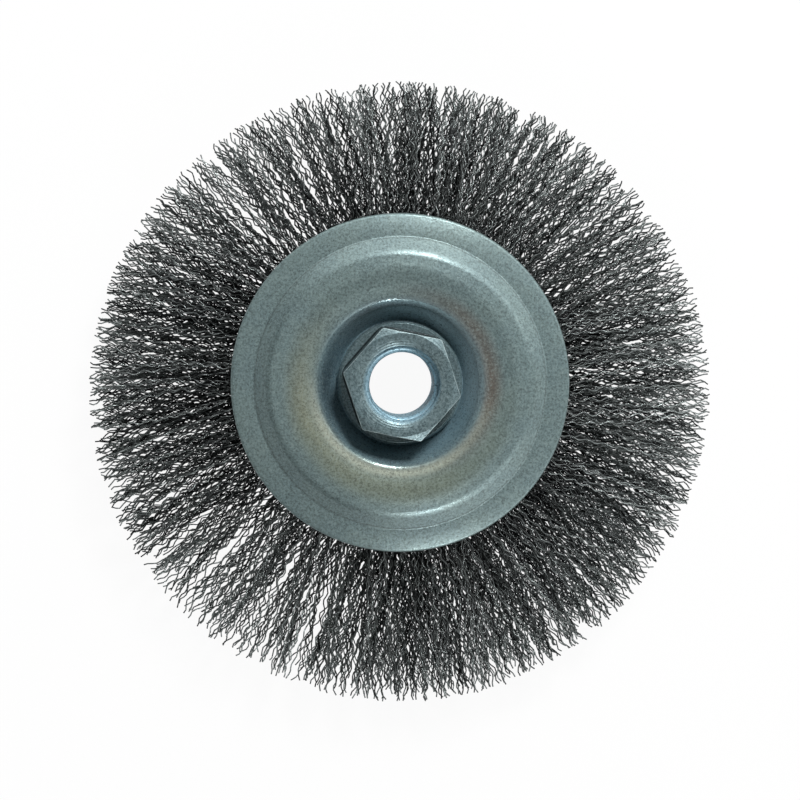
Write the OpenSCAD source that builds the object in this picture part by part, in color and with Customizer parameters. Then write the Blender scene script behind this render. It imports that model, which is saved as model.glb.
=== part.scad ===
// Conical wire brush for an angle grinder, in millimetres. A threaded nut clamps two pressed
// plates, and crimped wires are folded round a ring between them, so that both ends of each wire
// flare out and down as a cone. The axis is Z, the spindle side is up, and z = 0 is the plane of
// the lowest wire tips, on which the brush stands.

/* [Arbor nut] */
// Nominal diameter of the spindle thread
thread_d = 14; // [10:1:14]
// Pitch of the spindle thread
thread_pitch = 2; // [1:0.25:2]
// Width of the hexagon across its flats
nut_flats = 19; // [18:0.5:22]
// Height of the hexagon above its collar
hex_h = 8.1; // [6:0.1:14]
// Turn of the hexagon about the axis, in degrees
hex_turn = -11.5; // [-30:0.5:30]
// Angle of the chamfer round the top of the hexagon, in degrees
hex_chamfer = 25; // [15:1:35]
// How far the collar stands out past the corners of the hexagon
collar_margin = 0.45; // [0.2:0.05:2]
// Height of the round collar
collar_h = 2.2; // [1.5:0.1:4]
// Size of the bevel round the top of the collar
collar_bevel = 0.4; // [0.2:0.05:0.8]
// Wall of the spigot that passes through both plates
spigot_wall = 2; // [1.5:0.1:3]
// How far the swaged lip stands out past the spigot
lip_w = 1.3; // [0.6:0.1:2.5]
// Thickness of the swaged lip
lip_h = 1; // [0.6:0.1:2]
// Size of the bevel round the outer edge of the lip
lip_bevel = 0.5; // [0.2:0.05:0.55]

/* [Rear dish] */
// Thickness of the sheet that both plates are pressed from
sheet_t = 1.2; // [0.8:0.1:1.6]
// Play between the spigot and the holes in the plates
hole_play = 0.05; // [0.02:0.01:0.2]
// Diameter of the rim
rim_d = 62.6; // [60:0.5:72]
// Width of the flat rim
rim_w = 4.5; // [3:0.1:5.5]
// Slope of the rim, down towards its edge, in degrees
rim_slope = 12; // [5:0.5:14]
// Width of the step between the rim and the web
step_w = 2.8; // [2:0.1:4]
// Height of the step
step_h = 2.3; // [1.5:0.1:3]
// Width of the outer half of the crowned web
web_out_w = 4; // [3:0.1:5]
// Width of the inner half of the crowned web
web_in_w = 4.8; // [4:0.1:5.5]
// Height of the crown above the top of the step
crown_out_h = 1; // [0.5:0.1:1.6]
// Height of the crown above the shoulder of the well
crown_in_h = 1.2; // [0.5:0.1:1.8]
// Width of the sloping wall of the well
well_wall_w = 3.2; // [2.5:0.1:4]
// Height of the crown above the floor of the well
well_depth = 6.5; // [5:0.1:8]
// Radius of the bend at the floor of the well, small enough to start outside the collar
floor_bend = 0.9; // [0.7:0.1:1.0]
// Radius of the bend at the shoulder of the well
shoulder_bend = 2.2; // [1:0.1:3]
// Radius of the crown of the web
crown_bend = 9; // [5:0.5:11]
// Radius of the soft bend at the top of the step
step_bend = 3; // [1.2:0.1:4]
// Radius of the crisp bend at the foot of the step
foot_bend = 0.9; // [0.7:0.05:1.5]

/* [Front plate] */
// Diameter of the front plate
front_d = 55; // [52:0.5:58]
// Diameter of its flat middle
front_flat_d = 33; // [28:0.5:36]
// Slope of its cone, in degrees
front_slope = 5; // [2:0.5:10]
// Width of the lip that turns away from the wire
front_lip_w = 1.1; // [0.8:0.1:1.6]
// Slope of that lip, in degrees
front_lip_slope = 55; // [40:1:65]
// Radius of the bend at the flat middle
front_bend = 3; // [1:0.5:5]
// Radius of the bend at the lip
lip_bend = 1; // [0.8:0.1:1.2]

/* [Retaining ring] */
// Diameter of the ring at the middle of its bar
ring_d = 40; // [38:0.5:42]
// Thickness of the ring's bar
ring_bar = 3.2; // [2:0.1:3.6]

/* [Wire] */
// Number of wires, each folded in two
wire_count = 74; // [40:2:78]
// Thickness of the wire
wire_d = 0.7; // [0.5:0.05:0.8]
// Play between the wire and the parts that it lies against
wire_play = 0.12; // [0.1:0.01:0.2]
// Diameter of the brush at its widest
brush_d = 115; // [105:1:125]
// Slope of the outermost upper ends, in degrees
upper_slope = 14; // [13:0.5:17]
// How much steeper the innermost upper ends are, in degrees
upper_spread = 6; // [2:0.5:7]
// Slope of the innermost lower ends, in degrees
lower_slope = 35; // [33:0.5:40]
// How much flatter the outermost lower ends are, in degrees
lower_spread = 8; // [2:0.5:9]
// Depth of the layer in which the wires lie against each plate
layer_h = 1.2; // [0.6:0.1:1.4]
// Number of bends of the crimp in each free end
crimps = 10; // [6:1:11]
// Height of the crimp to either side
crimp_depth = 0.36; // [0.2:0.02:0.4]

/* [Hidden] */
$fn = 96;
// Straight pieces that stand for each bend of the sheet
BEND_STEPS = 8;
// Amount by which a cutter passes the face that it cuts
CUT = 1;
// How far inside the flats the chamfer of the hexagon starts
CHAMFER_INSET = 0.1;
// How much wider than the thread a countersink is, at its mouth
SINK_MARGIN = 0.15;
// Turn between neighbouring wires' slopes, in degrees, so that no pattern shows
SCATTER_TURN = 137.5;

// Thread: the bore is cut to the minor diameter of a metric thread
bore_r = (thread_d - 1.0825 * thread_pitch) / 2;
sink_r = thread_d / 2 + SINK_MARGIN;
sink_h = sink_r - bore_r;
spigot_r = bore_r + spigot_wall;
hole_r = spigot_r + hole_play;
hex_r = nut_flats / sqrt(3);
collar_r = hex_r + collar_margin;

// Radii of the corners of the rear dish, from the rim inwards
rim_r = rim_d / 2;
step_foot_r = rim_r - rim_w;
step_top_r = step_foot_r - step_w;
crown_r = step_top_r - web_out_w;
shoulder_r = crown_r - web_in_w;
floor_r = shoulder_r - well_wall_w;

// Wire: the upper ends leave the plates at the foot of the step, and the lower ends at the edge
// of the front plate's cone
wire_r = wire_d / 2;
exit_up_r = step_foot_r;
exit_low_r = front_d / 2 - front_lip_w;
exit_up = rear_under(exit_up_r) - wire_r - wire_play;
exit_low = front_top(exit_low_r) + wire_r + wire_play;
free_len = (brush_d / 2 - exit_up_r) / cos(upper_slope);
// Height of the joint between the plates, at which the lowest tips reach z = 0
joint_z = free_len * sin(lower_slope) - exit_low + wire_r * cos(60) * cos(lower_slope);
fold_r = (ring_bar + wire_d) / 2 + wire_play;
// Height of the ring above that joint, midway between the plates
ring_h = (front_top(ring_d / 2) + rear_under(ring_d / 2)) / 2;
dish_z = joint_z + sheet_t;
nut_top = dish_z + collar_h + hex_h;
nut_bottom = joint_z - sheet_t - lip_h;

// Heights of the sheets above the joint between the plates: the underside of the rear dish at
// the foot of its step and farther in, and the top of the front plate
function rear_under(r) = well_depth - (r < step_foot_r ? 0 : crown_out_h + step_h);
function front_top(r) = -max(0, r - front_flat_d / 2) * tan(front_slope);

function unit(v) = v / norm(v);
function left(v) = [-v[1], v[0]];

// Rounds the corner b of the line a, b, c. Gives pairs of a point and the normal there.
function bend(a, b, c, rad) =
    let (u = unit(a - b), v = unit(c - b))
    let (half = acos(u * v) / 2, centre = b + unit(u + v) * rad / sin(half))
    let (p = b + u * rad / tan(half) - centre, q = b + v * rad / tan(half) - centre)
    let (start = atan2(p[1], p[0]), side = p[0] * q[1] - p[1] * q[0] > 0 ? 1 : -1)
    let (turn = side * (180 - 2 * half))
    [for (i = [0:BEND_STEPS])
        let (e = [cos(start + turn * i / BEND_STEPS), sin(start + turn * i / BEND_STEPS)])
        [centre + rad * e, -side * e]];

// Section of a sheet: its middle line is rounded at each corner, and each side lies half a
// thickness from it. The last edge is round.
function sheet_section(corners, radii) =
    let (last = len(corners) - 1)
    let (first_n = left(unit(corners[1] - corners[0])))
    let (last_n = left(unit(corners[last] - corners[last - 1])))
    let (line = concat([[corners[0], first_n]],
        [for (i = [1:last - 1])
            each bend(corners[i - 1], corners[i], corners[i + 1], radii[i - 1])]))
    let (edge = corners[last] + [last_n[1], -last_n[0]] * -sheet_t / 2)
    let (edge_start = atan2(last_n[1], last_n[0]))
    concat([for (s = line) s[0] + s[1] * sheet_t / 2],
        [for (i = [0:BEND_STEPS])
            let (a = edge_start - 180 * i / BEND_STEPS)
            edge + [cos(a), sin(a)] * sheet_t / 2],
        [for (i = [len(line) - 1:-1:0]) line[i][0] - line[i][1] * sheet_t / 2]);

module arbor_nut() {
    color("slategray")
    difference() {
        union() {
            intersection() {
                translate([0, 0, dish_z + collar_h / 2])
                    rotate(hex_turn)
                        cylinder(h = hex_h + collar_h / 2, r = hex_r, $fn = 6);
                nut_envelope();
            }
            rotate_extrude()
                polygon([
                    [0, nut_bottom + lip_h],
                    [0, nut_bottom],
                    [spigot_r + lip_w - lip_bevel, nut_bottom],
                    [spigot_r + lip_w, nut_bottom + lip_bevel],
                    [spigot_r + lip_w, nut_bottom + lip_h],
                    [spigot_r, nut_bottom + lip_h],
                    [spigot_r, dish_z],
                    [collar_r, dish_z],
                    [collar_r, dish_z + collar_h - collar_bevel],
                    [collar_r - collar_bevel, dish_z + collar_h],
                    [0, dish_z + collar_h]
                ]);
        }
        translate([0, 0, nut_bottom - CUT])
            cylinder(h = nut_top - nut_bottom + 2 * CUT, r = bore_r);
        countersink(nut_top, 1);
        countersink(nut_bottom, -1);
    }
}

// Flat top and cone that leave the chamfered top of the hexagon
module nut_envelope() {
    flat_r = nut_flats / 2 - CHAMFER_INSET;
    reach = hex_r + CUT;
    rotate_extrude()
        polygon([
            [0, dish_z],
            [reach, dish_z],
            [reach, nut_top - (reach - flat_r) * tan(hex_chamfer)],
            [flat_r, nut_top],
            [0, nut_top]
        ]);
}

// Cone that opens one end of the bore to just over the thread's full diameter
module countersink(z, way) {
    translate([0, 0, z])
        mirror([0, 0, way > 0 ? 0 : 1])
            translate([0, 0, -sink_h])
                cylinder(h = sink_h + CUT, r1 = bore_r, r2 = sink_r + CUT);
}

module rear_dish() {
    floor_z = joint_z + sheet_t / 2;
    crown_z = floor_z + well_depth;
    step_top_z = crown_z - crown_out_h;
    foot_z = step_top_z - step_h;
    corners = [
        [hole_r, floor_z],
        [floor_r, floor_z],
        [shoulder_r, crown_z - crown_in_h],
        [crown_r, crown_z],
        [step_top_r, step_top_z],
        [step_foot_r, foot_z],
        [rim_r, foot_z - rim_w * tan(rim_slope)]
    ];
    color("lightslategray")
        rotate_extrude()
            polygon(sheet_section(corners,
                [floor_bend, shoulder_bend, crown_bend, step_bend, foot_bend]));
}

module front_plate() {
    middle_z = joint_z - sheet_t / 2;
    flat_r = front_flat_d / 2;
    edge_r = front_d / 2 - front_lip_w;
    edge_z = middle_z - (edge_r - flat_r) * tan(front_slope);
    corners = [
        [hole_r, middle_z],
        [flat_r, middle_z],
        [edge_r, edge_z],
        [front_d / 2, edge_z - front_lip_w * tan(front_lip_slope)]
    ];
    color("lightsteelblue")
        rotate_extrude()
            polygon(sheet_section(corners, [front_bend, lip_bend]));
}

module retaining_ring() {
    color("dimgray")
        translate([0, 0, joint_z + ring_h])
            rotate_extrude()
                translate([ring_d / 2, 0])
                    circle(d = ring_bar);
}

// How far a wire lies towards the innermost layer, from 0 to 1. Every other wire lies innermost.
function layer(i) = i % 2 == 1 ? 1 : (1 + sin(SCATTER_TURN * i)) / 2;

// One free end: stations [radius, height, sideways], from where it leaves the plates to its
// tip. The crimp steps from side to side, and the end leans evenly towards its own side.
function free_end(r, z, slope, lean, phase) =
    [for (i = [0:crimps])
        let (t = i / crimps, side = i == 0 ? 0 : (i + phase) % 2 == 0 ? 1 : -1)
        [r + free_len * t * cos(slope), joint_z + z - free_len * t * sin(slope),
            lean * t + side * crimp_depth]];

// Stations of a whole wire, from its upper tip, round the ring, to its lower tip
function wire_stations(i) =
    let (inner = layer(i), lean = PI * brush_d / wire_count / 4)
    let (upper = free_end(exit_up_r, exit_up - layer_h * inner,
        upper_slope + upper_spread * inner, lean, 0))
    let (lower = free_end(exit_low_r, exit_low + layer_h * (1 - inner),
        lower_slope - lower_spread * (1 - inner), -lean, 1))
    concat([for (k = [len(upper) - 1:-1:0]) upper[k]],
        [for (a = [80:50:280])
            [ring_d / 2 + fold_r * cos(a), joint_z + ring_h + fold_r * sin(a), 0]],
        lower);

// Three corners round each station, in the plane across the wire there
function wire_points(i) =
    let (s = wire_stations(i), last = len(s) - 1, a = 360 * i / wire_count)
    [for (k = [0:last])
        let (d = s[min(k + 1, last)] - s[max(k - 1, 0)])
        let (n = unit([d[1], -d[0]]))
        for (c = [0:2])
            let (r = s[k][0] + wire_r * cos(120 * c) * n[0])
            let (z = s[k][1] + wire_r * cos(120 * c) * n[1])
            let (y = s[k][2] + wire_r * sin(120 * c))
            [r * cos(a) - y * sin(a), r * sin(a) + y * cos(a), z]];

// Sides and ends of a wire of the given number of stations, from its first point's number
function wire_faces(start, stations) = concat(
    [[for (c = [0:2]) start + c]],
    [for (k = [0:stations - 2], c = [0:2])
        let (p = start + 3 * k + c, q = start + 3 * k + (c + 1) % 3)
        each [[p, p + 3, q], [q, p + 3, q + 3]]],
    [[for (c = [2:-1:0]) start + 3 * (stations - 1) + c]]);

module wire_hairpins() {
    stations = len(wire_stations(0));
    color("darkslategray")
        polyhedron(
            points = [for (i = [0:wire_count - 1]) each wire_points(i)],
            faces = [for (i = [0:wire_count - 1]) each wire_faces(3 * stations * i, stations)]);
}

arbor_nut();
rear_dish();
front_plate();
retaining_ring();
wire_hairpins();
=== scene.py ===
# %% [markdown]
# # A conical wire brush
#
# The real object is a tool for an angle grinder. A threaded nut clamps two pressed steel plates,
# and about a thousand thin crimped wires are folded round a ring between them, so that both ends
# of each wire flare out and down as a cone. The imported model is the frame: it says how big each
# piece is and where it sits. This script gives every piece the surface that the eye expects.

# %% The frame
import math
import bpy
import numpy as np
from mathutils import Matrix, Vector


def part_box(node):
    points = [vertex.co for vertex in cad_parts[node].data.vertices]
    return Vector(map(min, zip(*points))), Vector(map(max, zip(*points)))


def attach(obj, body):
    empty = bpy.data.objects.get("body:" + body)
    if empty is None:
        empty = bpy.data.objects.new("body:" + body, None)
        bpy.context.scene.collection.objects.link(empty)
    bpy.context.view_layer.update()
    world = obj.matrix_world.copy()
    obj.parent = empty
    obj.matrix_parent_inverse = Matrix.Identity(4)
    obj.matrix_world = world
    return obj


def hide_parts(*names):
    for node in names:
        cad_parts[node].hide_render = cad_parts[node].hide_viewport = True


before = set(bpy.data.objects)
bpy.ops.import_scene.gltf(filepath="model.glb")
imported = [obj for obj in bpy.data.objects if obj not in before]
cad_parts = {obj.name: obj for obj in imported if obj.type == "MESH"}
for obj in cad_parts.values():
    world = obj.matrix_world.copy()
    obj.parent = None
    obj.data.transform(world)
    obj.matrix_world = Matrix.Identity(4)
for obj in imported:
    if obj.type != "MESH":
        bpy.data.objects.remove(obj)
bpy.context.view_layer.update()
MM = 0.001
print("frame nodes:", sorted(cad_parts))

# %% [markdown]
# The sizes that a drawing of the brush would give are named here, in millimetres. Heights hang
# on two levels that are read from the frame: the joint between the plates, which is the highest
# point of the front plate, and the top of the nut.

# %% Sizes in millimetres
plate_low, plate_high = (np.array(c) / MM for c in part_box("front_plate"))
nut_low, nut_high = (np.array(c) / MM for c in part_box("arbor_nut"))
dish_low, dish_high = (np.array(c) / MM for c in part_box("rear_dish"))
ring_low, ring_high = (np.array(c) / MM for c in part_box("retaining_ring"))
JOINT_Z = plate_high[2]
NUT_TOP, NUT_BOTTOM = nut_high[2], nut_low[2]
RIM_R = dish_high[0]
SHEET_T = 1.2
FLOOR_Z = JOINT_Z + SHEET_T / 2
print(f"joint at {JOINT_Z:.2f} mm, nut from {NUT_BOTTOM:.2f} to {NUT_TOP:.2f} mm, rim {RIM_R:.2f} mm")

# %% [markdown]
# ## Surfaces from grids
#
# A turned or pressed piece is a closed section carried once round the axis. Its points fill a
# grid: rows go round the axis, columns go round the section. Both ways the grid closes on
# itself, so there are no poles and no seams. Working the whole grid out as one array is quick,
# and every face is a small, even quadrilateral.


# %% A closed grid as a mesh
def mesh_from(name, points, quads):
    """A mesh object from an array of points in millimetres and an array of quads, smooth shaded.

    The signed volume is the sum, over the faces, of a corner times the face's area vector. If
    it is negative, the faces point inwards, so each one is turned round.
    """
    a, b, c, d = (points[quads[:, k]] for k in range(4))
    volume = np.einsum("ij,ij->i", a, np.cross(c - a, d - b)).sum()
    if volume < 0:
        quads = quads[:, ::-1]
    mesh = bpy.data.meshes.new(name)
    mesh.vertices.add(len(points))
    mesh.vertices.foreach_set("co", (points * MM).astype(np.float32).ravel())
    mesh.loops.add(quads.size)
    mesh.loops.foreach_set("vertex_index", quads.astype(np.int32).ravel())
    mesh.polygons.add(len(quads))
    mesh.polygons.foreach_set("loop_start", np.arange(0, quads.size, 4, dtype=np.int32))
    mesh.polygons.foreach_set("use_smooth", np.ones(len(quads), dtype=bool))
    mesh.update(calc_edges=True)
    mesh.validate()
    piece = bpy.data.objects.new(name, mesh)
    bpy.context.scene.collection.objects.link(piece)
    print(f"{name}: {len(points)} points, {2 * len(quads)} triangles")
    return piece


def ring_quads(rows, columns):
    """Quads that join each point of a grid to the next, both ways closed."""
    i, j = np.meshgrid(np.arange(rows), np.arange(columns), indexing="ij")
    i2, j2 = (i + 1) % rows, (j + 1) % columns
    return np.stack([i * columns + j, i2 * columns + j, i2 * columns + j2, i * columns + j2], -1).reshape(-1, 4)


def carried_round(name, section, turns):
    """A closed section carried round Z: x = r cos(angle), y = r sin(angle), z = z.

    section holds (r, z), either one for all angles or one for each.
    """
    section = np.broadcast_to(section, (len(turns),) + section.shape[-2:])
    r, z = section[..., 0], section[..., 1]
    c, s = np.cos(turns)[:, None], np.sin(turns)[:, None]
    points = np.stack([r * c, r * s, z], -1).reshape(-1, 3)
    return mesh_from(name, points, ring_quads(*r.shape))


# %% [markdown]
# ## Bends in sheet steel
#
# A pressed plate has no sharp corner. Its middle line is a row of straights joined by arcs, and
# each skin of the sheet lies half a thickness from it. Each arc touches both straights at the
# distance radius times tan(half the turn) from the corner. Two extra points just outside each
# arc keep the straights flat in the shading.


# %% Rounding the corners of a line
def unit(v):
    """The vector divided by its length."""
    return v / np.linalg.norm(v, axis=-1, keepdims=True)


def soften(corners, radii, steps, guard=0.06):
    """Replaces each inner corner of the lines by an arc, and gives its points and left normals.

    Corners has the shape (..., corners, 2). An arc that would use up more than 0.45 of a
    straight is drawn smaller.
    """
    before, here, after = corners[..., :-2, :], corners[..., 1:-1, :], corners[..., 2:, :]
    u, v = unit(before - here), unit(after - here)
    half = np.arccos(np.clip((u * v).sum(-1), -1, 1)) / 2
    room = 0.45 * np.minimum(
        np.linalg.norm(before - here, axis=-1), np.linalg.norm(after - here, axis=-1)
    )
    reach = np.minimum(np.array(radii) / np.tan(half), room - guard)
    radius = reach * np.tan(half)
    centre = here + unit(u + v) * (radius / np.sin(half))[..., None]
    side = np.sign(-u[..., 0] * v[..., 1] + u[..., 1] * v[..., 0])
    start = here + u * reach[..., None] - centre
    first = np.arctan2(start[..., 1], start[..., 0])
    turn = side * (math.pi - 2 * half)
    share = np.linspace(0, 1, steps + 1)
    angle = first[..., None] + turn[..., None] * share
    spoke = np.stack([np.cos(angle), np.sin(angle)], -1)
    arc = centre[..., None, :] + radius[..., None, None] * spoke
    arc_normal = -side[..., None, None] * spoke
    lead_in = (here + u * (reach + guard)[..., None])[..., None, :]
    lead_out = (here + v * (reach + guard)[..., None])[..., None, :]
    arc = np.concatenate([lead_in, arc, lead_out], -2)
    arc_normal = np.concatenate(
        [arc_normal[..., :1, :], arc_normal, arc_normal[..., -1:, :]], -2
    )
    shape = arc.shape[:-3] + (-1, 2)
    arc, arc_normal = arc.reshape(shape), arc_normal.reshape(shape)
    line = np.concatenate([corners[..., :1, :], arc, corners[..., -1:, :]], -2)
    normal = np.concatenate([arc_normal[..., :1, :], arc_normal, arc_normal[..., -1:, :]], -2)
    return line, normal


def sheet_section(corners, radii, steps=10, edge_steps=8):
    """The outline of a bent sheet: the middle line plus and minus half a thickness.

    The outer edge is a half circle, and the edge at the hole is square with tiny bevels.
    """
    line, normal = soften(np.array(corners, float), radii, steps)
    left = np.array([-normal[-1][1], normal[-1][0]])
    end = line[-1] + left * SHEET_T / 2
    first = math.atan2(normal[-1][1], normal[-1][0])
    angle = first - np.linspace(0, math.pi, edge_steps + 1)
    edge = end + SHEET_T / 2 * np.stack([np.cos(angle), np.sin(angle)], -1)
    upper = line + normal * SHEET_T / 2
    lower = line - normal * SHEET_T / 2
    bevel = np.array([0.12, 0])
    return np.concatenate([upper[:1] + [0, -0.12], upper[:1] + bevel, upper[1:-1], edge,
                           lower[-2:0:-1], lower[:1] + bevel, lower[:1] + [0, 0.12]])


# %% [markdown]
# ## The rear dish
#
# This is the plate that shows in use. From the hub outwards it has the floor of a well, the
# well's sloping wall, a soft shoulder, a crowned web, a step, and a flat rim that slopes down a
# little. The press leaves the surface a few hundredths of a millimetre out of true, which is
# what makes its reflections wander, so three slow waves round the axis are added to the height.

# %% Rear dish
RIM_W, RIM_SLOPE = 4.5, math.radians(12)
STEP_W, STEP_H = 2.8, 2.3
WEB_OUT_W, WEB_IN_W = 4.0, 4.8
CROWN_OUT_H, CROWN_IN_H = 1.0, 1.2
WELL_WALL_W, WELL_DEPTH = 3.2, 6.5
HOLE_R = 7.97
STEP_FOOT_R = RIM_R - RIM_W
STEP_TOP_R = STEP_FOOT_R - STEP_W
CROWN_R = STEP_TOP_R - WEB_OUT_W
SHOULDER_R = CROWN_R - WEB_IN_W
WELL_FLOOR_R = SHOULDER_R - WELL_WALL_W
CROWN_Z = FLOOR_Z + WELL_DEPTH
FOOT_Z = CROWN_Z - CROWN_OUT_H - STEP_H
dish_corners = [
    (HOLE_R, FLOOR_Z),
    (WELL_FLOOR_R, FLOOR_Z),
    (SHOULDER_R, CROWN_Z - CROWN_IN_H),
    (CROWN_R, CROWN_Z),
    (STEP_TOP_R, CROWN_Z - CROWN_OUT_H),
    (STEP_FOOT_R, FOOT_Z),
    (RIM_R, FOOT_Z - RIM_W * math.tan(RIM_SLOPE)),
]
dish_section = sheet_section(dish_corners, [0.9, 2.2, 9, 3, 0.9], steps=12)
TURNS = np.linspace(0, 2 * math.pi, 360, endpoint=False)


def out_of_true(section, turns, size):
    """Adds three slow waves round the axis to the heights, which die out towards the hub."""
    wave = np.sin(2 * turns + 0.6) + 0.7 * np.sin(5 * turns + 2.1) + 0.5 * np.sin(9 * turns + 4.0)
    grown = np.clip((section[:, 0] - WELL_FLOOR_R) / (RIM_R - WELL_FLOOR_R), 0, 1)
    lifted = np.repeat(section[None], len(turns), 0)
    lifted[..., 1] += size * wave[:, None] * grown
    return lifted


dish = carried_round("rear_dish_pressed", out_of_true(dish_section, TURNS, 0.02), TURNS)

# %% [markdown]
# ## The front plate and the ring
#
# The smaller plate clamps the wires from the front. It is nearly flat, and its edge turns away
# from the wires so that it doesn't cut them. The ring that the wires hang on is plain bar bent
# round, hidden in the channel under the web.

# %% Front plate and retaining ring
FRONT_R, FRONT_FLAT_R, FRONT_SLOPE = plate_high[0] - 0.25, 16.5, math.radians(5)
FRONT_R = 27.5
LIP_W, LIP_SLOPE = 1.1, math.radians(55)
edge_r = FRONT_R - LIP_W
edge_z = JOINT_Z - SHEET_T / 2 - (edge_r - FRONT_FLAT_R) * math.tan(FRONT_SLOPE)
plate_corners = [
    (HOLE_R, JOINT_Z - SHEET_T / 2),
    (FRONT_FLAT_R, JOINT_Z - SHEET_T / 2),
    (edge_r, edge_z),
    (FRONT_R, edge_z - LIP_W * math.tan(LIP_SLOPE)),
]
plate = carried_round("front_plate_pressed", sheet_section(plate_corners, [3, 1]), TURNS)

BAR_R = (ring_high[2] - ring_low[2]) / 2
RING_R = ring_high[0] - BAR_R
RING_Z = (ring_high[2] + ring_low[2]) / 2
around = np.linspace(0, 2 * math.pi, 24, endpoint=False)
bar_section = np.stack([RING_R + BAR_R * np.cos(around), RING_Z + BAR_R * np.sin(around)], -1)
ring = carried_round("retaining_ring_bar", bar_section, TURNS[::2])

# %% [markdown]
# ## The arbor nut
#
# The nut is turned and milled from bar. Its outline at each angle is a row of corners: the
# flat top, the chamfer, the side of the hexagon, the collar, the spigot that goes through both
# plates, and the lip that was swaged over underneath. Only the hexagon's corners depend on the
# angle. The distance to its side is the apothem over the p-norm of the cosines to the six flats,
# which is a hexagon with slightly rounded corners for a large p.

# %% Nut outline
FLATS, HEX_TURN = 19.0, math.radians(-11.5)
COLLAR_R, COLLAR_Z = nut_high[0], JOINT_Z + SHEET_T + 2.2
SINK_R, BORE_R, THREAD_R, PITCH = 7.15, 5.9175, 7.0, 2.0
SPIGOT_R, LIP_R, LIP_Z = BORE_R + 2.0, BORE_R + 3.3, NUT_BOTTOM + 1.0
HEX_ROUNDNESS = 90
NUT_TURNS = np.linspace(0, 2 * math.pi, 240, endpoint=False)


def hexagon_r(turns):
    """Distance to the side of the hexagon: apothem / (sum of cosines ** p) ** (1 / p)."""
    flats = HEX_TURN + math.radians(30) + np.arange(6) * math.pi / 3
    cosines = np.clip(np.cos(turns[:, None] - flats), 0, None)
    return FLATS / 2 / (cosines ** HEX_ROUNDNESS).sum(1) ** (1 / HEX_ROUNDNESS)


hex_r = hexagon_r(NUT_TURNS)
top_r = FLATS / 2 - 0.1
chamfer_z = NUT_TOP - (hex_r - top_r) * math.tan(math.radians(25))
nut_corners = np.stack([np.broadcast_to(np.array(c, float), (len(NUT_TURNS), 2)) if np.ndim(c[0]) == 0
                        and np.ndim(c[1]) == 0 else np.stack(np.broadcast_arrays(*c), -1) for c in [
    (SINK_R, NUT_TOP),
    (top_r, NUT_TOP),
    (hex_r, chamfer_z),
    (hex_r, COLLAR_Z),
    (COLLAR_R - 0.4, COLLAR_Z),
    (COLLAR_R, COLLAR_Z - 0.4),
    (COLLAR_R, JOINT_Z + SHEET_T),
    (SPIGOT_R, JOINT_Z + SHEET_T),
    (SPIGOT_R, LIP_Z),
    (LIP_R, LIP_Z),
    (LIP_R, LIP_Z - 0.5),
    (LIP_R - 0.5, NUT_BOTTOM),
    (SINK_R, NUT_BOTTOM),
]], 1)
nut_radii = [0.25, 0.2, 0.3, 0.15, 0.15, 0.1, 0.1, 0.1, 0.1, 0.3, 0.4]
nut_outside, _ = soften(nut_corners, nut_radii, steps=4, guard=0.02)

# %% [markdown]
# The thread is a groove that climbs one pitch a turn. Its depth depends only on how far up the
# pitch a point is: flat crest, 30 degree flank, narrow root, 30 degree flank. The grid's rows
# follow the helix, so that no crest is cut across, and the rows that would leave the bore are
# pressed against its ends, where the countersinks open it.

# %% Threaded bore
CREST, FLANK = 0.25, 0.3125
SINK_H = SINK_R - BORE_R


def thread_r(z, turns):
    """Radius of the threaded wall: minor radius plus a trapezoid of the share of the pitch."""
    share = (z / PITCH - turns / (2 * math.pi)) % 1.0
    climb = np.clip((share - CREST) / FLANK, 0, 1) - np.clip((share - 1 + FLANK) / FLANK, 0, 1)
    return BORE_R + (THREAD_R - BORE_R) * np.clip(climb, 0, 1)


nodes_of_pitch = np.array([0.0, 0.12, CREST, CREST + FLANK / 2, CREST + FLANK, 1 - FLANK, 1 - FLANK / 2])
whole = np.arange(math.floor(NUT_BOTTOM / PITCH) - 1, math.ceil(NUT_TOP / PITCH) + 1)
helix_z = PITCH * (whole[:, None] + nodes_of_pitch).ravel()
bore_z = helix_z[None, :] + PITCH * NUT_TURNS[:, None] / (2 * math.pi)
bore_z = np.clip(bore_z, NUT_BOTTOM + 0.02, NUT_TOP - 0.02)
sink = np.maximum(bore_z - (NUT_TOP - SINK_H), NUT_BOTTOM + SINK_H - bore_z)
bore_r = np.maximum(thread_r(bore_z, NUT_TURNS[:, None]), BORE_R + np.clip(sink, 0, None))
nut_section = np.concatenate([nut_outside, np.stack([bore_r, bore_z], -1)], 1)
nut = carried_round("arbor_nut_turned", nut_section, NUT_TURNS)

# Painted light of each column: 1 for a painted highlight along the top edge of the hexagon,
# -1 for painted shade in the corner between the hexagon and its collar
painted_light_by_column = np.zeros(nut_section.shape[1])
painted_light_by_column[9:14] = 1.0
painted_light_by_column[15:21] = -1.0
nut.data.attributes.new("painted_edge_light_shade", "FLOAT", "POINT").data.foreach_set(
    "value", np.tile(painted_light_by_column, len(NUT_TURNS)).astype(np.float32))

# %% [markdown]
# ## The wires
#
# Each wire is folded once round the ring. Both of its ends pass between the plates and flare
# out, the upper ones nearly flat and the lower ones steeply. The wire is crimped, which means
# that it is bent to and fro in a fine wave before the brush is made. The crimps hook into each
# other, so the wires gather in locks with gaps between them, and that gives the brush its look.
#
# A million wires could be grown as hair, but hair has no true mesh. Instead every wire is a
# tube with three sides, and all of them are worked out at once: one array holds the station
# points of every wire, and a second one the three corners round each station.

# %% How the wires lie
HAIRPINS = 1300
WIRE_D = 0.23
WAVE, WAVE_DEPTH = 3.3, 0.36
STATIONS = 44
FREE_LEN = 32.1
LOW_SLOPE, HIGH_SLOPE = 35.5, 13.3
EXIT_LOW = (FRONT_R - LIP_W, JOINT_Z - 0.65)
EXIT_HIGH = (STEP_FOOT_R, JOINT_Z + 2.95)
LEAN = np.array([0.4, -2.3])
REACH = 58.1
LAYERS = 5
BUNDLE = 5
CROSSING = 0.17
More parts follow.
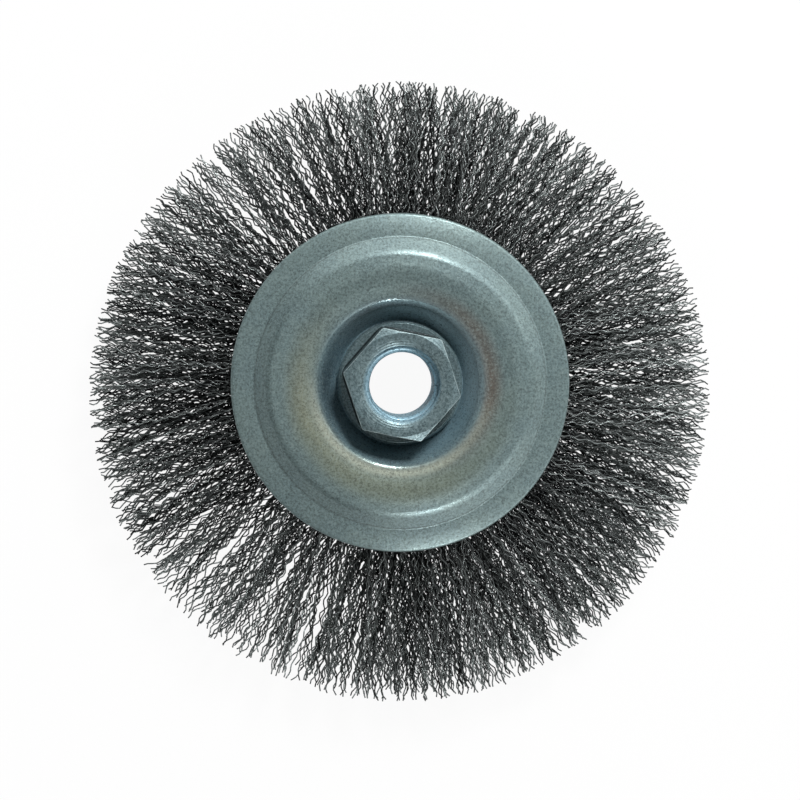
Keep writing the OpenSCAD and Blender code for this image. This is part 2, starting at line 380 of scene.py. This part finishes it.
# Thin places in the fill: azimuth and half width in degrees, and the share that is missing
THIN_PLACES = [(42, 18, 0.35), (124, 28, 0.5), (222, 21, 0.55), (252, 12, 0.35)]
rng = np.random.default_rng(14)


def scattered_turns(count):
    """Azimuths whose density is 1 less a smooth dip at each thin place, by inverse summing."""
    fine = np.linspace(0, 360, 3601)
    density = np.ones_like(fine)
    for centre, width, missing in THIN_PLACES:
        away = (fine - centre + 180) % 360 - 180
        density -= missing * np.exp(-((away / width) ** 2))
    total = np.concatenate([[0], np.cumsum(density[1:] + density[:-1])])
    even = (np.arange(count) + rng.uniform(0, 1, count)) / count
    return np.radians(np.interp(even * total[-1], total, fine))


# %% [markdown]
# A free end is a straight line from the clamp, plus a slow bend, plus the crimp: depth times
# sin(2 pi distance / wave + phase), sideways and up. Crimps that touch must nest, so the wires
# of one small bundle share most of their phase, lean and slope, and their tips draw together.
# The bundles themselves cross each other, which leaves the small diamond gaps of the real fill.


# %% Free ends of the wires
def free_ends(offset, layer, crossing):
    """Stations of one end of each wire, shape (wires, stations, 3): out, sideways, up.

    offset is the angle of each wire from the middle of its bundle. layer is 0 for an end that
    lies against the front plate and 1 against the dish, and crossing is the share of its length
    that an end leans sideways, one value for each bundle.
    """
    bundles = len(layer)
    count = bundles * BUNDLE

    def varied(own, shared, low=None):
        """Scatter with one part for each wire and one part for each bundle."""
        return rng.normal(0, own, count) + np.repeat(rng.normal(0, shared, bundles), BUNDLE)

    level = np.clip(np.repeat(layer, BUNDLE) + rng.normal(0, 0.05, count), 0, 1)
    slope = np.radians(LOW_SLOPE + (HIGH_SLOPE - LOW_SLOPE) * level + varied(0.8, 0.6))
    length = FREE_LEN * (1 + varied(0.01, 0.008))
    exit_r = EXIT_LOW[0] + (EXIT_HIGH[0] - EXIT_LOW[0]) * level
    lean = np.repeat(crossing, BUNDLE) + varied(0.07, 0.03)
    reach = np.sqrt(REACH ** 2 - (length * lean) ** 2)
    length = np.minimum(length, (reach - exit_r) / np.cos(slope))
    phase = rng.uniform(0, 2 * math.pi, count)
    wave = WAVE * (1 + varied(0.03, 0.06))
    roll = varied(0.5, 0.5)
    depth = WAVE_DEPTH * rng.uniform(0.75, 1.2, count)
    pull = np.repeat(rng.uniform(0.0, 0.25, bundles), BUNDLE)
    sag, swing = varied(0.4, 0.3), varied(1.0, 0.5)

    t = np.linspace(0, 1, STATIONS)[None, :]
    along = length[:, None] * t
    crimp = depth[:, None] * np.sin(2 * math.pi * along / wave[:, None] + phase[:, None])
    crimp *= np.clip(t * 12, 0, 1)
    bow = 4 * t * (1 - t)
    tip_r = EXIT_LOW[0] + length * np.cos(slope)
    side = (length * lean)[:, None] * t - (pull * offset * tip_r)[:, None] * t ** 3
    side += swing[:, None] * bow + crimp * np.cos(roll)[:, None]
    up = sag[:, None] * bow + crimp * np.sin(roll)[:, None]
    exit_z = EXIT_LOW[1] + (EXIT_HIGH[1] - EXIT_LOW[1]) * level
    sin, cos = np.sin(slope)[:, None], np.cos(slope)[:, None]
    out = exit_r[:, None] + along * cos + up * sin
    height = exit_z[:, None] - along * sin + up * cos
    return np.stack([out, side, height], -1)


# Each layer goes evenly round the brush, and a bundle is a few neighbours in one layer
layers = np.argsort(rng.random((HAIRPINS // LAYERS, LAYERS)), 1)
order = np.argsort(layers.ravel(), kind="stable")
turns = scattered_turns(HAIRPINS)[order]
middles = turns.reshape(-1, BUNDLE).mean(1)
offset = turns - np.repeat(middles, BUNDLE)
share = np.repeat((np.arange(LAYERS) + 0.5) / LAYERS, HAIRPINS // LAYERS // BUNDLE)
crossing = np.repeat(np.resize([CROSSING, -CROSSING], LAYERS), HAIRPINS // LAYERS // BUNDLE)
upper = free_ends(offset, 0.5 + 0.5 * share, crossing)
lower = free_ends(offset, 0.55 * (1 - share) ** 0.8, -crossing)

fold_turn = np.radians(np.linspace(80, 280, 6))
fold_r = (BAR_R + WIRE_D / 2 + 0.05 + rng.uniform(0, 1.0, HAIRPINS))[:, None]
fold = np.stack([RING_R + fold_r * np.cos(fold_turn), np.zeros((HAIRPINS, 6)),
                 RING_Z + fold_r * np.sin(fold_turn)], -1)
path = np.concatenate([upper[:, ::-1], fold, lower], 1)

# %% [markdown]
# The stations are turned to each wire's azimuth. The whole fill of this brush also leans a
# little to one side, more towards the tips, so the circle of the tips isn't quite centred on
# the dish. No end may go below the plane that the brush stands on.

# %% Wires in place
c, s = np.cos(turns)[:, None], np.sin(turns)[:, None]
x = path[..., 0] * c - path[..., 1] * s
y = path[..., 0] * s + path[..., 1] * c
freedom = np.clip((path[..., 0] - EXIT_LOW[0]) / FREE_LEN, 0, 1) ** 1.5
height = path[..., 2]
lift = np.clip(WIRE_D - height.min(1), 0, None)[:, None]
height = np.maximum(height + lift * freedom, WIRE_D)
path = np.stack([x + LEAN[0] * freedom, y + LEAN[1] * freedom, height], -1)
print("tips reach", np.linalg.norm(path[:, 0, :2], axis=1).max().round(2), "mm")


def tubes(path, diameter, corners):
    """Corners round each station: radius * (cos(a) n + sin(a) b), n and b across the path.

    b starts as the direction across the wire and the axis, so a tube doesn't twist. The radius
    is the one at which the flat-sided tube shows the wire's width on average.
    """
    radius = diameter / 2 * math.pi / (corners * math.sin(math.pi / corners))
    along = unit(np.gradient(path, axis=1))
    flat_across = np.stack([-path[..., 1], path[..., 0], 0 * path[..., 0]], -1)
    b = unit(np.cross(np.cross(along, unit(flat_across)), along))
    n = np.cross(b, along)
    a = 2 * math.pi * (np.arange(corners) + 0.5) / corners
    return (path[:, :, None] + radius * (np.cos(a)[:, None] * n[:, :, None]
                                         + np.sin(a)[:, None] * b[:, :, None]))


# %% Wire meshes
def wire_mesh(name, points, shade):
    """A mesh of closed tubes, with a shade from 0 to 1 for each wire, kept as an attribute."""
    count, stations, corners = points.shape[:3]
    w, k, j = np.meshgrid(np.arange(count), np.arange(stations - 1), np.arange(corners), indexing="ij")
    p = (w * stations + k) * corners + j
    q = (w * stations + k) * corners + (j + 1) % corners
    sides = np.stack([p, p + corners, q + corners, q], -1).reshape(-1)
    first = np.arange(count)[:, None] * stations * corners + np.arange(corners)
    last = first[:, ::-1] + (stations - 1) * corners
    ends = np.concatenate([first, last]).reshape(-1)
    starts = np.concatenate([np.arange(0, sides.size, 4), sides.size + np.arange(0, ends.size, corners)])
    mesh = bpy.data.meshes.new(name)
    mesh.vertices.add(count * stations * corners)
    mesh.vertices.foreach_set("co", (points * MM).astype(np.float32).ravel())
    mesh.loops.add(sides.size + ends.size)
    mesh.loops.foreach_set("vertex_index", np.concatenate([sides, ends]).astype(np.int32))
    mesh.polygons.add(len(starts))
    mesh.polygons.foreach_set("loop_start", starts.astype(np.int32))
    mesh.polygons.foreach_set("use_smooth", starts < sides.size)
    mesh.attributes.new("wire_shade", "FLOAT", "POINT").data.foreach_set(
        "value", np.repeat(shade, stations * corners).astype(np.float32))
    mesh.update(calc_edges=True)
    mesh.validate()
    piece = bpy.data.objects.new(name, mesh)
    bpy.context.scene.collection.objects.link(piece)
    print(f"{name}: {count} wires, {sides.size // 2 + 2 * count * (corners - 2)} triangles")
    return piece


WIRE_GROUPS = 4
wire_points = tubes(path, WIRE_D, 3)
shades = rng.random(HAIRPINS)
wires = [
    wire_mesh(f"wire_fill_{k + 1}", wire_points[part], shades[part])
    for k, part in enumerate(np.array_split(np.arange(HAIRPINS), WIRE_GROUPS))
]

# %% [markdown]
# ## Finishes
#
# One small function adds a node with its settings and links. Colours are written as hex values
# in sRGB and turned to linear.


# %% Material helpers
def linear(code):
    """The linear colour of a hex code: ((c + 0.055) / 1.055) ** 2.4, or c / 12.92 when dark."""
    srgb = np.array([int(code[i:i + 2], 16) for i in (1, 3, 5)]) / 255
    lin = np.where(srgb > 0.04045, ((srgb + 0.055) / 1.055) ** 2.4, srgb / 12.92)
    return (*lin, 1.0)


def add(tree, kind, settings=None, **links):
    """Adds a node. Settings go on the node, and each link or value on the socket of its name."""
    node = tree.nodes.new(kind)
    for key, value in (settings or {}).items():
        setattr(node, key, value)
    for key, value in links.items():
        socket = node.inputs[int(key[1:])] if key[1:].isdigit() else node.inputs[key.replace("_", " ")]
        if isinstance(value, bpy.types.NodeSocket):
            tree.links.new(value, socket)
        else:
            socket.default_value = value
    return node


def new_material(name):
    """An empty material, its node tree and its output node."""
    material = bpy.data.materials.new(name)
    material.use_nodes = True
    material.node_tree.nodes.clear()
    tree = material.node_tree
    return material, tree, tree.nodes.new("ShaderNodeOutputMaterial")


def mix(tree, factor, first, second, blend="MIX"):
    """Mixes two colours by a factor."""
    node = add(tree, "ShaderNodeMix", {"data_type": "RGBA", "blend_type": blend})
    for socket, value in ((node.inputs[0], factor), (node.inputs[6], first), (node.inputs[7], second)):
        if isinstance(value, bpy.types.NodeSocket):
            tree.links.new(value, socket)
        else:
            socket.default_value = value
    return node.outputs[2]


def ramp(tree, value, low, high, to_low=0.0, to_high=1.0):
    """Maps a value from one range to another, and holds it at the ends."""
    node = add(tree, "ShaderNodeMapRange", {"clamp": True}, i0=value, i1=low, i2=high, i3=to_low, i4=to_high)
    return node.outputs[0]


# %% [markdown]
# ### Bright zinc plate
#
# Zinc is plated on the pressed steel and passivated, which leaves a satin grey with a blue cast
# and faint straw-coloured patches. The blue is deepest where the bath stayed longest, down in
# the well, and the straw colour lies round its shoulder. The grain of the rolled sheet shows
# through as fine streaks, all one way. Since the tints follow the form, the shader works out
# the distance from the axis and lays each tint as a soft ring at a radius in metres. Some of
# the rings are painted light instead: painted shade on one side of the well's wall and painted
# light on the other, a painted highlight on one side of the shoulder, and a thin line of painted
# shade in the crease at the foot of the step. The straw and green-grey patches on one side of
# the web are made lighter as painted light too.


# %% Zinc plate
def soft_ring(tree, radius, centre, reach, strength):
    """Strength at the centre radius, falling smoothly to 0 at reach from it, both in mm."""
    away = add(tree, "ShaderNodeMath", {"operation": "SUBTRACT"}, i0=radius, i1=centre * MM)
    away = add(tree, "ShaderNodeMath", {"operation": "ABSOLUTE"}, i0=away.outputs[0])
    return add(tree, "ShaderNodeMapRange", {"clamp": True, "interpolation_type": "SMOOTHSTEP"},
               i0=away.outputs[0], i1=0.0, i2=reach * MM, i3=strength, i4=0.0).outputs[0]


def zinc_plate(name, base, cool, warm, bright, rough, rings, polish=None, turned=0.0):
    """Zinc-plated steel. Each of the rings is (radius, reach, colour, strength, patchy).

    polish is (radius, reach, by how much smoother), and turned is the strength of the turning
    marks of a lathe.
    """
    material, tree, out = new_material(name)
    place = add(tree, "ShaderNodeTexCoord").outputs["Object"]
    flat_place = add(tree, "ShaderNodeVectorMath", {"operation": "MULTIPLY"}, i0=place, i1=(1, 1, 0))
    radius = add(tree, "ShaderNodeVectorMath", {"operation": "LENGTH"},
                 i0=flat_place.outputs[0]).outputs["Value"]
    rolled = add(tree, "ShaderNodeVectorMath", {"operation": "MULTIPLY"}, i0=place, i1=(1, 0.12, 1))
    cloud = add(tree, "ShaderNodeTexNoise", None, Vector=place, Scale=130.0, Detail=5.0, Roughness=0.6)
    patch = add(tree, "ShaderNodeTexNoise", None, Vector=place, Scale=55.0, Detail=3.0)
    grain = add(tree, "ShaderNodeTexNoise", None, Vector=place, Scale=2200.0, Detail=3.0, Roughness=0.7)
    scale = add(tree, "ShaderNodeTexNoise", None, Vector=place, Scale=2400.0, Detail=3.0, Roughness=0.8)
    streak = add(tree, "ShaderNodeTexNoise", None, Vector=rolled.outputs[0], Scale=3000.0, Detail=3.0)

    colour = mix(tree, ramp(tree, cloud.outputs[0], 0.35, 0.65), linear(base), linear(cool))
    for centre, reach, tint, strength, side in rings:
        amount = soft_ring(tree, radius, centre, reach, strength)
        if side is not None:
            away = (math.cos(math.radians(side)), math.sin(math.radians(side)), 0)
            along = add(tree, "ShaderNodeVectorMath", {"operation": "DOT_PRODUCT"}, i0=place, i1=away)
            near = ramp(tree, along.outputs["Value"], 0.0, centre * MM)
            amount = add(tree, "ShaderNodeMath", {"operation": "MULTIPLY"}, i0=amount, i1=near).outputs[0]
            broken = ramp(tree, patch.outputs[0], 0.3, 0.6, 0.5, 1.0)
            amount = add(tree, "ShaderNodeMath", {"operation": "MULTIPLY"}, i0=amount, i1=broken).outputs[0]
        colour = mix(tree, amount, colour, linear(tint))
    fleck = ramp(tree, scale.outputs[0], 0.5, 0.66, 0.0, 0.5)
    colour = mix(tree, fleck, colour, linear(bright))
    spots = ramp(tree, scale.outputs[0], 0.37, 0.5, 0.6, 0.0)
    colour = mix(tree, spots, colour, linear(warm))
    colour = mix(tree, ramp(tree, streak.outputs[0], 0.35, 0.65, 0.15, 0.0), colour, linear(warm))
    # From the nut's attribute: a painted highlight on the hexagon's top edge and painted shade in the corner at
    # its collar. The plates lack the attribute, so they get neither
    edge = add(tree, "ShaderNodeAttribute", {"attribute_name": "painted_edge_light_shade"}).outputs["Fac"]
    colour = mix(tree, ramp(tree, edge, 0.0, 1.0, 0.0, 0.45), colour, linear("#c3d4d4"))
    colour = mix(tree, ramp(tree, edge, -1.0, 0.0, 0.85, 0.0), colour, linear("#0c1011"))
    roughness = ramp(tree, grain.outputs[0], 0.3, 0.7, rough + 0.07, rough - 0.05)
    if polish:
        smoother = soft_ring(tree, radius, *polish)
        roughness = add(tree, "ShaderNodeMath", {"operation": "SUBTRACT"}, i0=roughness, i1=smoother).outputs[0]

    relief = add(tree, "ShaderNodeMath", {"operation": "ADD"}, i0=scale.outputs[0], i1=streak.outputs[0])
    normal = add(tree, "ShaderNodeBump", None, Strength=0.6, Distance=0.00003, Height=relief.outputs[0]).outputs[0]
    if turned:
        wave = add(tree, "ShaderNodeMath", {"operation": "MULTIPLY"}, i0=radius, i1=2 * math.pi / 0.00045)
        wave = add(tree, "ShaderNodeMath", {"operation": "SINE"}, i0=wave.outputs[0])
        normal = add(tree, "ShaderNodeBump", None, Strength=turned, Distance=0.00003,
                     Height=wave.outputs[0], Normal=normal).outputs[0]
    shader = add(tree, "ShaderNodeBsdfPrincipled", None, Base_Color=colour, Metallic=0.5,
                 Roughness=roughness, Normal=normal)
    tree.links.new(shader.outputs[0], out.inputs[0])
    return material


# %% Wire steel
def wire_steel(name, dark, light, rough):
    """Hard drawn steel wire with a film of oil: dark, satin, each wire a little different."""
    material, tree, out = new_material(name)
    place = add(tree, "ShaderNodeTexCoord").outputs["Object"]
    shade = add(tree, "ShaderNodeAttribute", {"attribute_name": "wire_shade"}).outputs["Fac"]
    blotch = add(tree, "ShaderNodeTexNoise", None, Vector=place, Scale=900.0, Detail=2.0).outputs[0]
    flat_place = add(tree, "ShaderNodeVectorMath", {"operation": "MULTIPLY"}, i0=place, i1=(1, 1, 0))
    radius = add(tree, "ShaderNodeVectorMath", {"operation": "LENGTH"}, i0=flat_place.outputs[0])
    # Painted shade: the wires, and the ring, are made darker towards the hub, where the dense fill shades them
    painted_hub_shade = ramp(tree, radius.outputs["Value"], 30 * MM, 48 * MM, 0.5, 1.0)
    amount = add(tree, "ShaderNodeMath", {"operation": "MULTIPLY_ADD"}, i0=blotch, i1=0.6, i2=-0.3)
    amount = add(tree, "ShaderNodeMath", {"operation": "MULTIPLY_ADD"}, i0=shade, i1=0.85, i2=amount.outputs[0])
    amount = add(tree, "ShaderNodeMath", {"operation": "MULTIPLY"}, i0=amount.outputs[0], i1=painted_hub_shade)
    colour = mix(tree, amount.outputs[0], linear(dark), linear(light))
    shader = add(tree, "ShaderNodeBsdfPrincipled", None, Base_Color=colour, Metallic=0.9,
                 Roughness=rough, Specular_Tint=(0.15, 0.16, 0.16, 1))
    tree.links.new(shader.outputs[0], out.inputs[0])
    return material


WELL_TINT = (12.6, 4.2, "#8fb4c4", 0.9, None)
BROWN_TINT = (16.7, 2.8, "#6c5342", 0.9, 8)
# Straw and green-grey tints on one side of the web, made lighter there as painted light
STRAW_TINT_AND_PAINTED_LIGHT = (18.5, 4.0, "#9c9c80", 0.7, 215)
GREEN_TINT_AND_PAINTED_LIGHT = (19.5, 4.0, "#9aa590", 0.7, 275)
# Painted highlight: a pale band on one side of the shoulder
SHOULDER_PAINTED_HIGHLIGHT = (16.3, 1.5, "#dde2cc", 0.95, 262)
# Painted shade on one side of the well's wall, and painted light on the other side
WELL_WALL_PAINTED_SHADE = (13.4, 3.0, "#1b3340", 0.95, 160)
WELL_WALL_PAINTED_LIGHT = (13.4, 3.2, "#cfe4ec", 0.95, 60)
# Painted shade: a thin dark line in the crease at the foot of the step
STEP_FOOT_PAINTED_SHADE = (STEP_FOOT_R, 0.16, "#3f4646", 0.5, None)
SINK_TINT = (6.3, 1.1, "#a9d2e4", 0.9, None)
SHOULDER_POLISH = (SHOULDER_R + 0.3, 1.3, 0.14)
dish_zinc = zinc_plate("zinc_plated_pressed_steel", "#7c908f", "#758a8c", "#454c4b", "#9fb0ae", 0.3,
                       [WELL_TINT, WELL_WALL_PAINTED_SHADE, WELL_WALL_PAINTED_LIGHT, BROWN_TINT, STRAW_TINT_AND_PAINTED_LIGHT, GREEN_TINT_AND_PAINTED_LIGHT, SHOULDER_PAINTED_HIGHLIGHT, STEP_FOOT_PAINTED_SHADE], SHOULDER_POLISH)
nut_zinc = zinc_plate("zinc_plated_turned_steel", "#73888b", "#6a8187", "#262e2f", "#a3b4b6", 0.34,
                      [SINK_TINT], turned=0.25)
plate_zinc = zinc_plate("zinc_plated_front_plate", "#788888", "#708386", "#454c4b", "#9fb0ae", 0.35, [])
bar_steel = wire_steel("drawn_steel_bar", "#3f4343", "#595d5d", 0.4)
oiled_wire = wire_steel("oiled_crimped_steel_wire", "#080a0a", "#9ca3a2", 0.22)


def finish_piece(piece, material, node):
    """Gives a piece its material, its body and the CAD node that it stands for."""
    piece.data.materials.append(material)
    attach(piece, "root")
    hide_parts(node)


finish_piece(dish, dish_zinc, "rear_dish")
finish_piece(plate, plate_zinc, "front_plate")
finish_piece(ring, bar_steel, "retaining_ring")
finish_piece(nut, nut_zinc, "arbor_nut")
for group in wires:
    finish_piece(group, oiled_wire, "wire_hairpins")

# %% [markdown]
# ## The floor, the light and the camera
#
# The brush stands on its wire tips on a white floor, which a low white wall closes off all round,
# as in a photographer's cove. Both show white to the camera and in reflections, with a share of
# true diffuse shading left in, which keeps the shadow. The wall is only as high as a level view
# needs, and far off, because more white would wash the shape out of the bright metal.

# %% Floor and cove, in metres
FLOOR_HALF = 9.0
COVE_R, COVE_H, COVE_SIDES = 8.9, 1.28, 96
SHADOW_SHARE = 0.06
floor_mesh = bpy.data.meshes.new("floor")
floor_mesh.from_pydata([(-FLOOR_HALF, -FLOOR_HALF, 0), (FLOOR_HALF, -FLOOR_HALF, 0),
                        (FLOOR_HALF, FLOOR_HALF, 0), (-FLOOR_HALF, FLOOR_HALF, 0)], [], [(0, 1, 2, 3)])
floor = bpy.data.objects.new("floor", floor_mesh)
bpy.context.scene.collection.objects.link(floor)
cove_turns = np.linspace(0, 2 * math.pi, COVE_SIDES, endpoint=False)
cove_foot = COVE_R * np.stack([np.cos(cove_turns), np.sin(cove_turns), 0 * cove_turns], -1)
cove_points = np.concatenate([cove_foot, cove_foot + [0, 0, COVE_H]]) / MM
lap = np.arange(COVE_SIDES)
next_lap = np.roll(lap, -1)
cove_quads = np.stack([lap, next_lap, next_lap + COVE_SIDES, lap + COVE_SIDES], -1)
cove = mesh_from("cove", cove_points, cove_quads)


def seen_directly(tree):
    """1 for a camera, glossy or transmission ray, and 0 for the rays that carry diffuse light."""
    path_kind = add(tree, "ShaderNodeLightPath")
    first = add(tree, "ShaderNodeMath", {"operation": "MAXIMUM"},
                i0=path_kind.outputs["Is Camera Ray"], i1=path_kind.outputs["Is Glossy Ray"])
    return add(tree, "ShaderNodeMath", {"operation": "MAXIMUM"}, i0=first.outputs[0],
               i1=path_kind.outputs["Is Transmission Ray"]).outputs[0]


floor_material, tree, out = new_material("white_studio_floor")
matte = add(tree, "ShaderNodeBsdfDiffuse", None, Color=(0.95, 0.95, 0.95, 1))
white = add(tree, "ShaderNodeEmission", None, Color=(1, 1, 1, 1), Strength=1.0)
share = add(tree, "ShaderNodeMath", {"operation": "MULTIPLY"}, i0=seen_directly(tree), i1=1 - SHADOW_SHARE)
blend = add(tree, "ShaderNodeMixShader", None, i0=share.outputs[0], i1=matte.outputs[0], i2=white.outputs[0])
tree.links.new(blend.outputs[0], out.inputs[0])
for backdrop in (floor, cove):
    backdrop.data.materials.append(floor_material)

# %% World
world = bpy.data.worlds.new("studio")
bpy.context.scene.world = world
world.use_nodes = True
tree = world.node_tree
tree.nodes.clear()
out = tree.nodes.new("ShaderNodeOutputWorld")
direction = add(tree, "ShaderNodeTexCoord").outputs["Generated"]
# Soft patches of light: azimuth and height in degrees, half width, strength
SKY_LEVEL = 0.02
FILL_LEVEL = 0.05
SKY_PATCHES = {
    "high_180": (180, 60, 26, 0.45),
    "high_240": (240, 60, 26, 0.3),
    "mid_000": (0, 42, 35, 0.4),
    "mid_060": (60, 42, 35, 0.35),
    "mid_120": (120, 42, 35, 0.3),
    "mid_300": (300, 42, 35, 0.2),
    "low_045": (45, 14, 45, 2.0),
    "low_090": (90, 14, 45, 2.15),
    "low_300": (300, 14, 45, 2.1),
}


def aim_of(azimuth, elevation):
    """The unit vector towards an azimuth and height in degrees."""
    a, e = math.radians(azimuth), math.radians(elevation)
    return (math.cos(a) * math.cos(e), math.sin(a) * math.cos(e), math.sin(e))


light = SKY_LEVEL
for name, (azimuth, elevation, half_width, strength) in SKY_PATCHES.items():
    dot = add(tree, "ShaderNodeVectorMath", {"operation": "DOT_PRODUCT"},
              i0=direction, i1=aim_of(azimuth, elevation))
    patch = add(tree, "ShaderNodeMapRange", {"clamp": True, "interpolation_type": "SMOOTHSTEP", "name": name},
                i0=dot.outputs["Value"], i1=math.cos(math.radians(half_width)), i2=1.0, i3=0.0, i4=strength)
    light = add(tree, "ShaderNodeMath", {"operation": "ADD"}, i0=patch.outputs[0], i1=light).outputs[0]
lit = add(tree, "ShaderNodeBackground", None, Color=(1, 1, 1, 1), Strength=light)
fill = add(tree, "ShaderNodeBackground", None, Color=(1, 1, 1, 1), Strength=FILL_LEVEL)
kinds = add(tree, "ShaderNodeLightPath").outputs
both = add(tree, "ShaderNodeMixShader", None, i0=kinds["Is Diffuse Ray"], i1=lit.outputs[0], i2=fill.outputs[0])
tree.links.new(both.outputs[0], out.inputs[0])


# %% Lamps
def area_lamp(name, azimuth, elevation, distance, power, size):
    """A square lamp that looks at the middle of the brush."""
    data = bpy.data.lights.new(name, "AREA")
    data.energy, data.size = power, size
    lamp = bpy.data.objects.new(name, data)
    lamp.location = np.array(aim_of(azimuth, elevation)) * distance
    lamp.rotation_euler = (math.radians(90 - elevation), 0, math.radians(azimuth + 90))
    bpy.context.scene.collection.objects.link(lamp)
    return lamp


key_lamp = area_lamp("key_lamp", 66, 50, 1.0, 9.5, 0.2)
key_lamp.visible_glossy = False
fill_lamp = area_lamp("fill_lamp", 265, 30, 1.0, 2.0, 0.3)
fill_lamp.visible_glossy = False
for name, azimuth, elevation, power in (("glint_lamp", 75, 42, 3.5), ("low_glint_lamp", 285, 40, 2.0)):
    area_lamp(name, azimuth, elevation, 1.0, power, 0.15).visible_diffuse = False

# %% [markdown]
# The camera looks down from half a metre, through a long lens, and stands a little to the left
# of the axis and above it in the picture, so the nut, which is nearer, moves right and down
# against the dish. The focal length is what makes a millimetre at the top of the nut 5.5 pixels
# in an 800 pixel picture.

# %% Camera
VIEW_PX, PX_PER_MM, DISTANCE = 800, 5.5, 550.0
SENSOR = 36.0
DISH_AT_PX = (400.5, 383.1)
TILT_X, TILT_Y = math.radians(2.4), math.radians(2.8)
rim_distance = DISTANCE + NUT_TOP - FOOT_Z
rim_px_per_mm = PX_PER_MM * DISTANCE / rim_distance
look_at = np.array([(VIEW_PX / 2 - DISH_AT_PX[0]) / rim_px_per_mm,
                    (DISH_AT_PX[1] - VIEW_PX / 2) / rim_px_per_mm, FOOT_Z])
towards_camera = unit(np.array([-math.tan(TILT_X), math.tan(TILT_Y), 1.0]))
camera_data = bpy.data.cameras.new("camera")
camera_data.sensor_width = SENSOR
camera_data.lens = PX_PER_MM * DISTANCE * SENSOR / VIEW_PX
camera_data.clip_start = 0.01
camera = bpy.data.objects.new("camera", camera_data)
camera.location = (look_at + rim_distance * towards_camera) * MM
camera.rotation_euler = (-math.asin(towards_camera[1]),
                         math.atan2(towards_camera[0], towards_camera[2]), 0)
bpy.context.scene.collection.objects.link(camera)
bpy.context.scene.camera = camera
bpy.context.scene.view_settings.view_transform = "Standard"
